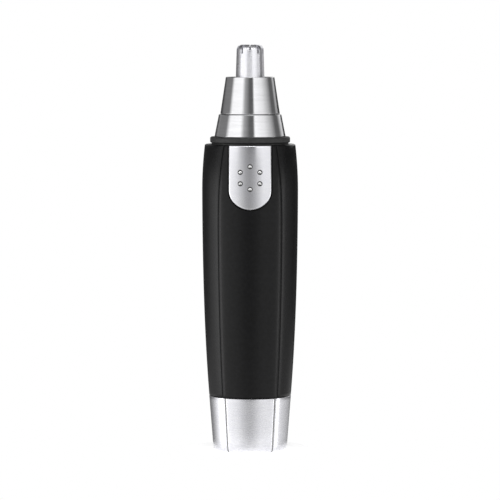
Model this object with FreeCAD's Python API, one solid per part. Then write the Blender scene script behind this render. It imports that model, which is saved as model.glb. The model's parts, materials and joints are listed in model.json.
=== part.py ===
import FreeCAD, Part
import math
import os

# Nose hair trimmer: a battery-powered rotary trimmer that stands upright on its end cap.
# Millimetres, +Z up along the tool's axis, the origin at the middle of the flat base.
# The switch is on the front, which faces -Y. Plan angles are measured in degrees from the front
# towards +X, so they grow as a piece turns by the right-hand rule about +Z.
# A pair of numbers is a (low, high) or (inner, outer) range.

# Driving heights
TOTAL_H = 125.0
CAP_TOP_Z = 16.9
BODY_FOOT_Z = 17.1
BODY_WIDEST_Z = 80.3
BODY_TOP_Z = 94.5
FLANGE_TOP_Z = 94.9
COLLAR_TOP_Z = 96.8
RING_TOP_Z = 103.6
CONE_FOOT_Z = 103.75
CONE_TOP_Z = 115.1

# Driving radii of the outside
CAP_FOOT_R = 11.3
CAP_TOP_R = 12.63
BODY_FOOT_R = 12.63
BODY_WIDEST_R = 14.78
BODY_TOP_R = 13.91
COLLAR_R = 12.3
RING_FOOT_R = 11.0
RING_TOP_R = 9.6
CONE_FOOT_R = 9.2
CONE_TOP_R = 7.45
TUBE_FOOT_R = 4.38
TUBE_TIP_R = 4.07

# Creases between the raised front and back panels and the side panels
CREASE_DEPTH = 0.45
CREASE_WIDTH = 0.83
CREASE_DEG = 42.0
CREASE_NARROWING_DEG = 6.5
CREASE_NARROWS_FROM_Z = 68.0
CAP_CREASE_DEG = 39.5

# Edge rounds
CAP_FOOT_ROUND = 1.1
BODY_TOP_ROUND = 0.4
COLLAR_ROUND = 0.4
METAL_ROUND = 0.25
SMALL_ROUND = 0.4
TIP_ROUND = 1.6
TIP_INNER_ROUND = 1.2

# Clearances and cutting overrun
FIT = 0.05
OVER = 1.0
LONG = 200.0

# Body bore and the inside frame
BORE_R = 11.0
RELIEF_R = 12.0
RELIEF_Z = (34.0, 72.0)
CHASSIS_R = 10.7
CHASSIS_IN_R = 9.5
CHASSIS_Z = (24.7, 91.3)
CHASSIS_SPLIT_GAP = 0.1
RIB_T = 1.2
BATTERY_RIBS_Z = (27.0, 40.0, 53.0)
BATTERY_RIB_GAP = 0.25
MOTOR_RIBS_Z = (65.0, 74.4, 83.4)
MOTOR_RIB_GAP = 0.1
PARTITION_Z = (60.5, 61.2)
TOP_PLATE_Z = 87.5
SHAFT_HOLE_R = 3.6
WINDOW_HALF_W = 4.6
WINDOW_FOOT_Z = 77.5
CHANNEL_HALF_W = 1.0
CHANNEL_BACK_Y = -8.4
LEAD_PASS_HALF_W = 0.8
LEAD_PASS_Z = (60.0, 62.0)

# Battery: one AA cell
CELL_R = 7.13
CELL_SLEEVE_R = 7.25
CELL_Z = (9.5, 59.0)
CELL_NUB_R = 2.75
CELL_NUB_TOP_Z = 60.0
SLEEVE_SHORT = 0.5

# Metal strips from the cell through the switch to the motor
STRIP_T = 0.3
STRIP_HALF_W = 0.6
STRIP_X = 2.3
STRIP_OUT_Y = -8.8
STRIP_IN_Y = -8.0
STRIP_DIP_Z = (79.8, 84.9)
STRIP_TOP_Z = 90.4
FEED_FOOT_Z = 61.9
LEAD_Y = 3.3
LEAD_TOP_Z = 62.2
CONTACT_PLATE_HALF_W = 3.1
CONTACT_PLATE_FRONT_Y = -2.6

# Motor
MOTOR_Z = (63.0, 85.0)
MOTOR_R = 7.75
MOTOR_HALF_FLAT = 6.0
MOTOR_WALL = 0.7
MOTOR_BOSS_R = 2.7
MOTOR_BOSS_H = 1.2
FRONT_BUSH_R = 2.0
REAR_BUSH_R = 1.9
END_BELL_T = 2.2
END_BELL_FLOOR_T = 0.3
SHAFT_R = 1.0
SHAFT_RUN = 0.05
SHAFT_Z = (63.5, 93.0)
CORE_Z = (70.0, 79.5)
CORE_R = 5.0
CORE_HUB_R = 1.9
ARM_REACH = 4.2
ARM_HALF_W = 0.8
SHOE_T = 1.0
SHOE_HALF_DEG = 48.0
COIL_X = (2.2, 3.6)
COIL_HALF_W = 1.8
COIL_OVERHANG = 0.8
POLE_TURNS = (0, 120, 240)
MAGNET_IN_R = 5.3
MAGNET_OVERHANG = 1.0
MAGNET_HALF_DEG = 44.0
COMMUTATOR_R = 2.2
COMMUTATOR_Z = (65.6, 68.4)
COMMUTATOR_GAP = 0.2
BRUSH_X = (2.35, 2.6)
BRUSH_HALF_W = 1.2
BRUSH_H = 3.0

# Drive dogs
COUPLING_Z = (87.2, 95.0)
DOG_R = 3.2
DOG_IN_R = 1.7
DOG_HALF_DEG = 20.0
DRIVER_DOG_Z = (94.9, 98.4)
DRIVEN_DOG_Z = (95.3, 98.8)

# Switch
BUTTON_HALF_W = 6.5
BUTTON_FOOT_Z = 74.9
BUTTON_ROUND_H = 6.0
BUTTON_IN_R = 12.95
BUTTON_PROUD = 0.25
CROWN_MID_Z = 87.0
RECESS_R = 12.75
RECESS_GAP = 0.3
SWITCH_TRAVEL = 3.0
DOT_COUNT = 6
DOT_PITCH_R = 3.45
DOT_CENTRE_Z = 84.7
DOT_BALL_R = 0.9
DOT_PROUD = 0.35
STEM_HALF_W = 1.6
STEM_Z = (81.0, 86.0)
STEM_GAP = 0.3
STEM_BACK_Y = -10.2
CARRIER_R = (9.75, 10.55)
CARRIER_Z = (79.0, 88.0)
CARRIER_HALF_DEG = 22.0
BRIDGE_HALF_W = 3.0
BRIDGE_Y = (-9.6, -9.1)
BRIDGE_Z = (81.5, 83.5)
BRIDGE_PEG_HALF_W = 1.0
BRIDGE_PEG_Y = (-9.8, -9.5)
BRIDGE_PEG_Z = (82.0, 83.0)
SWITCH_BASE_HALF_W = 3.9
SWITCH_BASE_FRONT_Y = -8.6
SWITCH_BASE_Z = (79.5, 91.0)

# Bayonets: the end cap unlocks by turning to -35 degrees, the head by turning to +35 degrees
TWIST_DEG = 35.0
LUG_HALF_DEG = 9.0
LUG_GAP_DEG = 1.0
LUG_COUNT = 3
GROOVE_GAP = 0.2
LUG_ROOT_DEPTH = 0.5
CAP_LUG_R = 11.6
CAP_LUG_Z = (20.0, 22.0)
CAP_LUG_FIRST_DEG = 90.0
HEAD_LUG_R = 8.2
HEAD_LUG_Z = (99.1, 101.0)
HEAD_LUG_FIRST_DEG = 30.0

# Neck
NECK_R = 9.1
NECK_IN_R = 7.5
NECK_TOP_Z = 103.3
NECK_FLOOR_TOP_Z = 93.0
NECK_PLUG_Z = 91.5
NECK_FLANGE_INSET = 0.5
SCREW_X = 4.6
SCREW_Y = 3.6
SCREW_R = 0.9
SCREW_FOOT_Z = 87.8
SCREW_PILOT_R = 0.92
SCREW_HOLE_R = 1.0
SCREW_HEAD_R = 1.5
SCREW_HEAD_H = 1.0
SCREW_CROSS_DEPTH = 0.5
SCREW_CROSS_HALF_L = 0.9
SCREW_CROSS_HALF_W = 0.15

# Head
CONE_WALL = 0.7
INSERT_NECK_R = 7.3
INSERT_BORE_R = 5.4
INSERT_Z = (97.6, 113.55)
INSERT_FLANGE_R = 8.25
INSERT_FLANGE_Z = (104.2, 104.9)
INSERT_TOP_R = 6.7
INSERT_SHOULDER_Z = 105.3
TUBE_IN_R = 3.7
TUBE_FLANGE_R = 6.6
TUBE_FLANGE_FOOT_Z = 113.6
TIP_SLOT_COUNT = 10
TIP_SLOT_W = 0.6
TIP_SLOT_FOOT_Z = 122.3
TIP_SLOT_IN_R = 1.5
TIP_PLATE_T = 0.4
LOWER_BUSH_Z = (104.6, 107.6)
UPPER_BUSH_Z = (113.7, 116.7)

# Blade
SPINDLE_R = 1.5
SPINDLE_Z = (98.8, 118.8)
SPINDLE_HUB_Z = (98.7, 101.0)
SPINDLE_PIN_R = 0.8
SPINDLE_PIN_TOP_Z = 121.0
BLADE_HALF_W = 3.62
BLADE_T = 0.5
BLADE_FOOT_Z = 118.9
BLADE_TIP_GAP = 0.1
BLADE_CORNER = 1.1
BLADE_HUB_R = 1.4
BLADE_HUB_H = 2.4
BLADE_SPRING_R = 2.3
BLADE_SPRING_WIRE_R = 0.25
BLADE_SPRING_Z = (101.1, 104.4)
BLADE_SPRING_TURNS = 3

# Inside of the end cap
CUP_R = 10.0
CUP_FLOOR_Z = 1.6
CAP_FOOT_LIMIT_R = 11.5
CAP_FOOT_LIMIT_H = 2.5
PLUG_FOOT_R = 9.9
PLUG_FOOT_Z = 1.7
PLUG_R = 10.7
PLUG_TOP_Z = 24.0
PLUG_IN_R = 8.3
PLUG_FLOOR_Z = 3.0
SEAL_GROOVE_R = 9.65
SEAL_GROOVE_Z = (17.95, 19.25)
SEAL_RING_R = 10.28
SEAL_WIRE_R = 0.6
RISER_SLOT_HALF_W = 1.2
RISER_SLOT_Y = (8.2, 8.75)
SPRING_SEAT_R = 7.0
RISER_HALF_W = 1.1
RISER_Y = (8.35, 8.65)
RISER_FOOT_Y = 6.0
CONTACT_RING_R = 9.6
BATTERY_SPRING_FOOT_R = 5.6
BATTERY_SPRING_TOP_R = 3.0
BATTERY_SPRING_WIRE_R = 0.35
BATTERY_SPRING_Z = (3.35, 9.3)
BATTERY_SPRING_TURNS = 4

# Fineness of the modelled curves
BODY_SPANS = 9
CAP_SPANS = 2
COIL_STEPS_A_TURN = 12


def vec(x, y, z):
    return FreeCAD.Vector(x, y, z)


def on_ring(radius, plan_deg, z):
    """Point at a plan angle from the front."""
    angle = math.radians(plan_deg)
    return vec(radius * math.sin(angle), -radius * math.cos(angle), z)


def block(x_range, y_range, z_range):
    """Box between two limits on each axis."""
    size = [high - low for low, high in (x_range, y_range, z_range)]
    return Part.makeBox(*size, vec(x_range[0], y_range[0], z_range[0]))


def rod(radius, low_z, high_z):
    """Round rod on the axis."""
    return Part.makeCylinder(radius, high_z - low_z, vec(0, 0, low_z))


def tube(out_r, in_r, low_z, high_z):
    """Plain tube on the axis."""
    return rod(out_r, low_z, high_z).cut(rod(in_r, low_z - OVER, high_z + OVER))


def turned(outline):
    """Solid of revolution from its (radius, height) outline."""
    points = [vec(radius, 0, z) for radius, z in outline]
    face = Part.Face(Part.makePolygon(points + [points[0]]))
    return face.revolve(vec(0, 0, 0), vec(0, 0, 1), 360)


def sector(out_r, in_r, z_range, mid_deg, half_deg):
    """Part of a ring, centred on a plan angle."""
    low_z, high_z = z_range
    corners = [vec(in_r, 0, low_z), vec(out_r, 0, low_z), vec(out_r, 0, high_z), vec(in_r, 0, high_z)]
    face = Part.Face(Part.makePolygon(corners + [corners[0]]))
    piece = face.revolve(vec(0, 0, 0), vec(0, 0, 1), 2 * half_deg)
    piece.rotate(vec(0, 0, 0), vec(0, 0, 1), mid_deg - half_deg - 90)
    return piece


def round_rims(solid, round_r, rims):
    """Round the circular edges that lie at the given (radius, height) places."""
    near = 0.01
    chosen = []
    for edge in solid.Edges:
        if isinstance(edge.Curve, Part.Circle):
            for radius, z in rims:
                near_radius = abs(edge.Curve.Radius - radius) < near
                if near_radius and abs(edge.Curve.Center.z - z) < near:
                    chosen.append(edge)
    return solid.makeFillet(round_r, chosen)


def turned_about_axis(shape, degrees):
    copy = shape.copy()
    copy.rotate(vec(0, 0, 0), vec(0, 0, 1), degrees)
    return copy


def moved(shape, x, y):
    copy = shape.copy()
    copy.translate(vec(x, y, 0))
    return copy


def coil(foot_r, top_r, wire_r, z_range, turns):
    """Round-wire spring on the axis, straight-sided or conical."""
    low_z = z_range[0] + wire_r
    high_z = z_range[1] - wire_r
    steps = turns * COIL_STEPS_A_TURN
    points = []
    for step in range(steps + 1):
        share = step / steps
        radius = foot_r + (top_r - foot_r) * share
        points.append(on_ring(radius, 360 * turns * share, low_z + (high_z - low_z) * share))
    line = Part.BSplineCurve()
    line.interpolate(Points=points)
    start_direction = line.tangent(line.FirstParameter)[0]
    section = Part.Wire(Part.makeCircle(wire_r, points[0], start_direction))
    return Part.Wire(line.toShape()).makePipeShell([section], True, True)


def folded_strip(x_mid, route):
    """Flat metal strip of one thickness that follows square (y, z) bends."""
    half_t = STRIP_T / 2
    legs = []
    for (y_a, z_a), (y_b, z_b) in zip(route, route[1:]):
        y_range = (min(y_a, y_b) - half_t, max(y_a, y_b) + half_t)
        z_range = (min(z_a, z_b) - half_t, max(z_a, z_b) + half_t)
        legs.append(block((x_mid - STRIP_HALF_W, x_mid + STRIP_HALF_W), y_range, z_range))
    return legs[0].multiFuse(legs[1:]).removeSplitter()


# ---- outside form -------------------------------------------------------------------------


def body_radius(z):
    """Radius of the body: it swells from the foot to its widest place and draws in at the top."""
    if z > BODY_WIDEST_Z:
        rise = (z - BODY_WIDEST_Z) / (BODY_TOP_Z - BODY_WIDEST_Z)
        return BODY_WIDEST_R - (BODY_WIDEST_R - BODY_TOP_R) * rise ** 2
    drop = (BODY_WIDEST_Z - z) / (BODY_WIDEST_Z - BODY_FOOT_Z)
    return BODY_WIDEST_R - (BODY_WIDEST_R - BODY_FOOT_R) * (0.43 * drop ** 1.5 + 0.57 * drop ** 3)


def body_crease_deg(z):
    """Plan angle of the crease, which draws in towards the front near the top."""
    rise = max(0.0, (z - CREASE_NARROWS_FROM_Z) / (BODY_TOP_Z - CREASE_NARROWS_FROM_Z))
    return CREASE_DEG - CREASE_NARROWING_DEG * rise ** 2


def cap_radius(z):
    return CAP_FOOT_R + (CAP_TOP_R - CAP_FOOT_R) * z / CAP_TOP_Z


def cap_crease_deg(z):
    return CAP_CREASE_DEG


def panel_section(z, radius, crease_deg):
    """Plan outline with raised front and back panels, rounded steps and two side panels."""
    edge_deg = crease_deg - math.degrees(CREASE_WIDTH / radius)
    step_deg = crease_deg - 0.42 * (crease_deg - edge_deg)
    step_r = radius - 0.27 * CREASE_DEPTH
    valley_r = radius - CREASE_DEPTH
    edges = []
    for turn in (0, 180):
        stretches = [
            ((radius, turn - edge_deg), (radius, turn), (radius, turn + edge_deg)),
            ((radius, turn + edge_deg), (step_r, turn + step_deg), (valley_r, turn + crease_deg)),
            ((valley_r, turn + crease_deg), (radius, turn + 90), (valley_r, turn + 180 - crease_deg)),
            ((valley_r, turn + 180 - crease_deg), (step_r, turn + 180 - step_deg),
             (radius, turn + 180 - edge_deg)),
        ]
        for places in stretches:
            points = [on_ring(ring_r, plan_deg, z) for ring_r, plan_deg in places]
            edges.append(Part.Arc(*points).toShape())
    return Part.Wire(edges)


def panel_loft(low_z, high_z, spans, radius_at, crease_at):
    """Solid that follows the plan outline up the tool."""
    sections = []
    for step in range(spans + 1):
        z = low_z + (high_z - low_z) * step / spans
        sections.append(panel_section(z, radius_at(z), crease_at(z)))
    return Part.makeLoft(sections, True, False)


def bayonet_grooves(out_r, in_r, lug_z, mouth_z, first_deg, turn_deg):
    """Slots for the lugs: a level run as long as the twist, and a way out to the mouth."""
    half_deg = LUG_HALF_DEG + LUG_GAP_DEG
    run_z = (lug_z[0] - GROOVE_GAP / 2, lug_z[1] + GROOVE_GAP / 2)
    way_z = (min(run_z[0], mouth_z), max(run_z[1], mouth_z))
    slots = []
    for index in range(LUG_COUNT):
        lug_deg = first_deg + index * 360 / LUG_COUNT
        slots.append(sector(out_r, in_r, run_z, lug_deg + turn_deg / 2, half_deg + abs(turn_deg) / 2))
        slots.append(sector(out_r, in_r, way_z, lug_deg + turn_deg, half_deg))
    return slots


def bayonet_lugs(out_r, in_r, lug_z, first_deg):
    lugs = []
    for index in range(LUG_COUNT):
        lug_deg = first_deg + index * 360 / LUG_COUNT
        lugs.append(sector(out_r, in_r, lug_z, lug_deg, LUG_HALF_DEG))
    return lugs


def button_prism(grow, top_z):
    """Upright U outline of the switch, run out to the front."""
    half_w = BUTTON_HALF_W + grow
    foot_z = BUTTON_FOOT_Z - grow
    shoulder_z = BUTTON_FOOT_Z + BUTTON_ROUND_H
    ellipse = Part.Ellipse(vec(half_w, 0, shoulder_z), vec(0, 0, foot_z), vec(0, 0, shoulder_z))
    bowl = Part.ArcOfEllipse(ellipse, math.pi, 2 * math.pi).toShape()
    if bowl.CenterOfMass.z > shoulder_z:
        bowl = Part.ArcOfEllipse(ellipse, 0, math.pi).toShape()
    corners = [
        vec(half_w, 0, shoulder_z), vec(half_w, 0, top_z),
        vec(-half_w, 0, top_z), vec(-half_w, 0, shoulder_z),
    ]
    sides = [Part.makeLine(start, end) for start, end in zip(corners, corners[1:])]
    outline = Part.Wire(Part.__sortEdges__([bowl] + sides))
    return Part.Face(outline).extrude(vec(0, -LONG, 0))


# ---- housing ------------------------------------------------------------------------------


def body_shell():
    """Outer body with its bore, the switch's recess and slot, and the end cap's grooves."""
    blank = panel_loft(BODY_FOOT_Z, BODY_TOP_Z, BODY_SPANS, body_radius, body_crease_deg)
    limit_r = BODY_WIDEST_R + OVER
    top_limit = rod(limit_r, BODY_FOOT_Z - OVER, BODY_TOP_Z)
    past = 0.1
    dome = turned([
        (0, BODY_FOOT_Z - 2 * OVER), (limit_r, BODY_FOOT_Z - 2 * OVER), (limit_r, BODY_WIDEST_Z),
        (BODY_TOP_R + past, BODY_TOP_Z - BODY_TOP_ROUND), (BODY_TOP_R - BODY_TOP_ROUND, BODY_TOP_Z + past),
        (0, BODY_TOP_Z + past),
    ])
    shell = blank.common(dome).common(top_limit)
    shell = shell.cut(rod(BORE_R, 0, LONG))
    shell = shell.cut(rod(RELIEF_R, *RELIEF_Z))
    recess = button_prism(RECESS_GAP, BODY_TOP_Z + OVER).cut(rod(RECESS_R, 0, LONG))
    stem_slot = block(
        (-STEM_HALF_W - STEM_GAP, STEM_HALF_W + STEM_GAP), (-BODY_WIDEST_R, 0),
        (STEM_Z[0] - STEM_GAP, STEM_Z[1] + SWITCH_TRAVEL + STEM_GAP),
    )
    groove_r = CAP_LUG_R + GROOVE_GAP
    mouth_z = BODY_FOOT_Z - OVER
    grooves = bayonet_grooves(groove_r, BORE_R - OVER, CAP_LUG_Z, mouth_z, CAP_LUG_FIRST_DEG, -TWIST_DEG)
    return shell.cut([recess, stem_slot] + grooves)


def screw_places():
    return [(x, y) for x in (-SCREW_X, SCREW_X) for y in (-SCREW_Y, SCREW_Y)]


def chassis_whole():
    """Inside frame before it is split: a tube with ribs for the cell and the motor."""
    low_z, high_z = CHASSIS_Z
    rib_r = CHASSIS_IN_R + FIT
    frame = [tube(CHASSIS_R, CHASSIS_IN_R, low_z, high_z)]
    frame += [tube(rib_r, CELL_SLEEVE_R + BATTERY_RIB_GAP, z, z + RIB_T) for z in BATTERY_RIBS_Z]
    frame += [tube(rib_r, MOTOR_R + MOTOR_RIB_GAP, z, z + RIB_T) for z in MOTOR_RIBS_Z]
    frame.append(rod(rib_r, *PARTITION_Z))
    frame.append(tube(rib_r, SHAFT_HOLE_R, TOP_PLATE_Z, high_z))
    whole = frame[0].multiFuse(frame[1:])
    window = block((-WINDOW_HALF_W, WINDOW_HALF_W), (-LONG, -MOTOR_HALF_FLAT), (WINDOW_FOOT_Z, LONG))
    cuts = [window]
    for side in (-1, 1):
        x_range = (side * STRIP_X - CHANNEL_HALF_W, side * STRIP_X + CHANNEL_HALF_W)
        lead_y = -side * LEAD_Y
        cuts.append(block(x_range, (-CHASSIS_IN_R + FIT, CHANNEL_BACK_Y), (low_z - OVER, high_z + OVER)))
        cuts.append(block(x_range, (lead_y - LEAD_PASS_HALF_W, lead_y + LEAD_PASS_HALF_W), LEAD_PASS_Z))
    pilot = rod(SCREW_PILOT_R, TOP_PLATE_Z - OVER, high_z + OVER)
    cuts += [moved(pilot, x, y) for x, y in screw_places()]
    return whole.cut(cuts)


def chassis_half(side):
    """Front (-1) or rear (+1) half of the inside frame."""
    y_range = sorted((side * CHASSIS_SPLIT_GAP / 2, side * LONG))
    return chassis_whole().common(block((-LONG, LONG), y_range, (0, LONG)))


def chassis_front():
    return chassis_half(-1)


def chassis_rear():
    return chassis_half(1)


def neck_mount():
    """Neck that is screwed to the inside frame and takes the head's bayonet lugs."""
    plug_r = BORE_R - 2 * FIT
    flange_r = COLLAR_R - NECK_FLANGE_INSET
    mount = turned([
        (SHAFT_HOLE_R, NECK_PLUG_Z), (plug_r, NECK_PLUG_Z), (plug_r, BODY_TOP_Z),
        (flange_r, BODY_TOP_Z), (flange_r, FLANGE_TOP_Z), (NECK_R, FLANGE_TOP_Z),
        (NECK_R, NECK_TOP_Z), (NECK_IN_R, NECK_TOP_Z), (NECK_IN_R, NECK_FLOOR_TOP_Z),
        (SHAFT_HOLE_R, NECK_FLOOR_TOP_Z),
    ])
    groove_r = HEAD_LUG_R + GROOVE_GAP
    mouth_z = NECK_TOP_Z + OVER
    grooves = bayonet_grooves(groove_r, NECK_IN_R - OVER, HEAD_LUG_Z, mouth_z, HEAD_LUG_FIRST_DEG, TWIST_DEG)
    hole = rod(SCREW_HOLE_R, NECK_PLUG_Z - OVER, NECK_FLOOR_TOP_Z + OVER)
    return mount.cut(grooves + [moved(hole, x, y) for x, y in screw_places()])


def neck_screws():
    """Four small pan-head screws that hold the neck to the inside frame."""
    top_z = NECK_FLOOR_TOP_Z + SCREW_HEAD_H
    shank = rod(SCREW_R, SCREW_FOOT_Z, NECK_FLOOR_TOP_Z)
    head = round_rims(rod(SCREW_HEAD_R, NECK_FLOOR_TOP_Z, top_z), SMALL_ROUND, [(SCREW_HEAD_R, top_z)])
    long_way = (-SCREW_CROSS_HALF_L, SCREW_CROSS_HALF_L)
    short_way = (-SCREW_CROSS_HALF_W, SCREW_CROSS_HALF_W)
    drive_z = (top_z - SCREW_CROSS_DEPTH, top_z + OVER)
    cross = [block(long_way, short_way, drive_z), block(short_way, long_way, drive_z)]
    screw = shank.fuse(head).cut(cross)
    return Part.makeCompound([moved(screw, x, y) for x, y in screw_places()])


def collar_seal():
    seal = tube(COLLAR_R, NECK_R + FIT, FLANGE_TOP_Z, COLLAR_TOP_Z)
    return round_rims(seal, COLLAR_ROUND, [(COLLAR_R, FLANGE_TOP_Z), (COLLAR_R, COLLAR_TOP_Z)])


def trim_ring():
    ring = turned([
        (NECK_R + FIT, COLLAR_TOP_Z), (RING_FOOT_R, COLLAR_TOP_Z),
        (RING_TOP_R, RING_TOP_Z), (NECK_R + FIT, RING_TOP_Z),
    ])
    return round_rims(ring, METAL_ROUND, [(RING_FOOT_R, COLLAR_TOP_Z), (RING_TOP_R, RING_TOP_Z)])


# ---- battery and its contacts -------------------------------------------------------------


def battery_cell():
    low_z, high_z = CELL_Z
    cell = rod(CELL_R, low_z, high_z).fuse(rod(CELL_NUB_R, high_z, CELL_NUB_TOP_Z))
    return round_rims(cell, SMALL_ROUND, [(CELL_R, low_z), (CELL_R, high_z), (CELL_NUB_R, CELL_NUB_TOP_Z)])


def battery_sleeve():
    return tube(CELL_SLEEVE_R, CELL_R, CELL_Z[0] + SLEEVE_SHORT, CELL_Z[1] - SLEEVE_SHORT)


def positive_contact():
    """Plate over the cell's nub with a riser to one motor terminal."""
    low_z = CELL_NUB_TOP_Z + FIT
    plate = block((-CONTACT_PLATE_HALF_W, CONTACT_PLATE_HALF_W), (CONTACT_PLATE_FRONT_Y, LEAD_Y),
                  (low_z, PARTITION_Z[0] - FIT))
    riser = block((-STRIP_X - STRIP_HALF_W, -STRIP_X + STRIP_HALF_W), (LEAD_Y - STRIP_T, LEAD_Y),
                  (low_z, LEAD_TOP_Z))
    return plate.fuse(riser).removeSplitter()


def fixed_contact(x_mid, lower_run):
    """Strip that comes up the frame, dips into the switch base and ends as a fixed contact."""
    low_z, high_z = STRIP_DIP_Z
    upper_run = [(STRIP_OUT_Y, low_z), (STRIP_IN_Y, low_z), (STRIP_IN_Y, high_z), (STRIP_OUT_Y, high_z),
                 (STRIP_OUT_Y, STRIP_TOP_Z)]
    return folded_strip(x_mid, lower_run + upper_run)


def negative_strip():
    return fixed_contact(-STRIP_X, [(STRIP_OUT_Y, CHASSIS_Z[0])])


def motor_feed_strip():
    return fixed_contact(STRIP_X, [(-LEAD_Y - STRIP_T, FEED_FOOT_Z), (STRIP_OUT_Y, FEED_FOOT_Z)])


# ---- motor --------------------------------------------------------------------------------


def flat_sided(radius, half_flat, low_z, high_z):
    """Round rod with two flats, front and rear."""
    return rod(radius, low_z, high_z).common(block((-LONG, LONG), (-half_flat, half_flat), (0, LONG)))


def motor_can():
    low_z, high_z = MOTOR_Z
    can = flat_sided(MOTOR_R, MOTOR_HALF_FLAT, low_z, high_z)
    hollow = flat_sided(
        MOTOR_R - MOTOR_WALL, MOTOR_HALF_FLAT - MOTOR_WALL, low_z - OVER, high_z - MOTOR_WALL)
    boss = rod(MOTOR_BOSS_R, high_z, high_z + MOTOR_BOSS_H)
    bush_hole = rod(FRONT_BUSH_R, high_z - 2 * OVER, high_z + MOTOR_BOSS_H + OVER)
    return can.cut(hollow).fuse(boss).cut(bush_hole)


def motor_end_bell():
    low_z = MOTOR_Z[0]
    inset = MOTOR_WALL + FIT
    bell = flat_sided(MOTOR_R - inset, MOTOR_HALF_FLAT - inset, low_z, low_z + END_BELL_T)
    return bell.cut(rod(REAR_BUSH_R, low_z + END_BELL_FLOOR_T, low_z + END_BELL_T + OVER))


def motor_front_bush():
    high_z = MOTOR_Z[1]
    return tube(FRONT_BUSH_R, SHAFT_R + SHAFT_RUN, high_z - MOTOR_WALL, high_z + MOTOR_BOSS_H)


def motor_rear_bush():
    low_z = MOTOR_Z[0]
    return tube(REAR_BUSH_R, SHAFT_R + SHAFT_RUN, low_z + END_BELL_FLOOR_T, low_z + END_BELL_T)


def motor_magnets():
    z_range = (CORE_Z[0] - MAGNET_OVERHANG, CORE_Z[1] + MAGNET_OVERHANG)
    out_r = MOTOR_R - MOTOR_WALL - FIT
    return Part.makeCompound(
        [sector(out_r, MAGNET_IN_R, z_range, side_deg, MAGNET_HALF_DEG) for side_deg in (90, 270)])


def motor_terminals():
    """Two tabs under the motor: one on the cell's riser, one on the feed strip's foot."""
    foot_z = {-1: PARTITION_Z[1], 1: FEED_FOOT_Z + STRIP_T / 2}
    tabs = []
    for side in (-1, 1):
        x_range = (side * STRIP_X - STRIP_HALF_W, side * STRIP_X + STRIP_HALF_W)
        y_range = sorted((-side * LEAD_Y, -side * (LEAD_Y + STRIP_T)))
        tabs.append(block(x_range, y_range, (foot_z[side], MOTOR_Z[0])))
    return Part.makeCompound(tabs)


def motor_brushes():
    """Two spring leaves that stand on the end bell beside the commutator."""
    foot_z = MOTOR_Z[0] + END_BELL_T
    leaves = []
    for side in (-1, 1):
        x_range = sorted((side * BRUSH_X[0], side * BRUSH_X[1]))
        leaves.append(block(x_range, (-BRUSH_HALF_W, BRUSH_HALF_W), (foot_z, foot_z + BRUSH_H)))
    return Part.makeCompound(leaves)


def motor_shaft():
    return rod(SHAFT_R, *SHAFT_Z)


def commutator():
    low_z, high_z = COMMUTATOR_Z
    ring = tube(COMMUTATOR_R, SHAFT_R, low_z, high_z)
    gap = block((SHAFT_R + COMMUTATOR_GAP, COMMUTATOR_R + OVER), (-COMMUTATOR_GAP / 2, COMMUTATOR_GAP / 2),
                (low_z - OVER, high_z + OVER))
    return ring.cut([turned_about_axis(gap, turn) for turn in POLE_TURNS])


def armature_core():
    """Three-pole stack: hub, arms and curved pole shoes."""
    arm = block((0, ARM_REACH), (-ARM_HALF_W, ARM_HALF_W), CORE_Z)
    shoe = sector(CORE_R, CORE_R - SHOE_T, CORE_Z, 90, SHOE_HALF_DEG)
    pieces = [turned_about_axis(piece, turn) for turn in POLE_TURNS for piece in (arm, shoe)]
    stack = rod(CORE_HUB_R, *CORE_Z).multiFuse(pieces).removeSplitter()
    return stack.cut(rod(SHAFT_R, CORE_Z[0] - OVER, CORE_Z[1] + OVER))


def armature_windings():
    """One copper coil round each arm."""
    z_range = (CORE_Z[0] - COIL_OVERHANG, CORE_Z[1] + COIL_OVERHANG)
    winding = block(COIL_X, (-COIL_HALF_W, COIL_HALF_W), z_range)
    core = armature_core()
    return Part.makeCompound([turned_about_axis(winding, turn).cut(core) for turn in POLE_TURNS])


def dog_pair(z_range, first_deg):
    """Two drive dogs on opposite sides of the axis."""
    turns = (first_deg, first_deg + 180)
    return [sector(DOG_R, DOG_IN_R, z_range, turn, DOG_HALF_DEG) for turn in turns]


def drive_coupling():
    """Hub on the motor shaft with two dogs that push the blade spindle round."""
    low_z, high_z = COUPLING_Z
    hub = round_rims(rod(DOG_R, low_z, high_z), SMALL_ROUND, [(DOG_R, low_z)])
    hub = hub.cut(rod(SHAFT_R, low_z - OVER, SHAFT_Z[1]))
    return hub.multiFuse(dog_pair(DRIVER_DOG_Z, 90)).removeSplitter()


# ---- switch -------------------------------------------------------------------------------


def switch_button():
    """Curved U-shaped plate with six raised grip dots in a ring."""
    stations = [BUTTON_FOOT_Z - OVER, BODY_WIDEST_Z, CROWN_MID_Z, BODY_TOP_Z]
    points = [vec(body_radius(z) + BUTTON_PROUD, 0, z) for z in stations]
    crown = Part.BSplineCurve()
    crown.interpolate(Points=points)
    foot = [points[0], vec(BUTTON_IN_R, 0, points[0].z), vec(BUTTON_IN_R, 0, points[-1].z), points[-1]]
    profile = Part.Wire([crown.toShape(), Part.makePolygon(foot)])
    sleeve = Part.Face(profile).revolve(vec(0, 0, 0), vec(0, 0, 1), 360)
    plate = sleeve.common(button_prism(0, BODY_TOP_Z))
    dots = []
    for index in range(DOT_COUNT):
        angle = math.radians(90 + index * 360 / DOT_COUNT)
        x = DOT_PITCH_R * math.cos(angle)
        z = DOT_CENTRE_Z + DOT_PITCH_R * math.sin(angle)
        reach = body_radius(z) + BUTTON_PROUD + DOT_PROUD - DOT_BALL_R
        dots.append(Part.makeSphere(DOT_BALL_R, vec(x, -math.sqrt(reach ** 2 - x ** 2), z)))
    return plate.multiFuse(dots)


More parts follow.
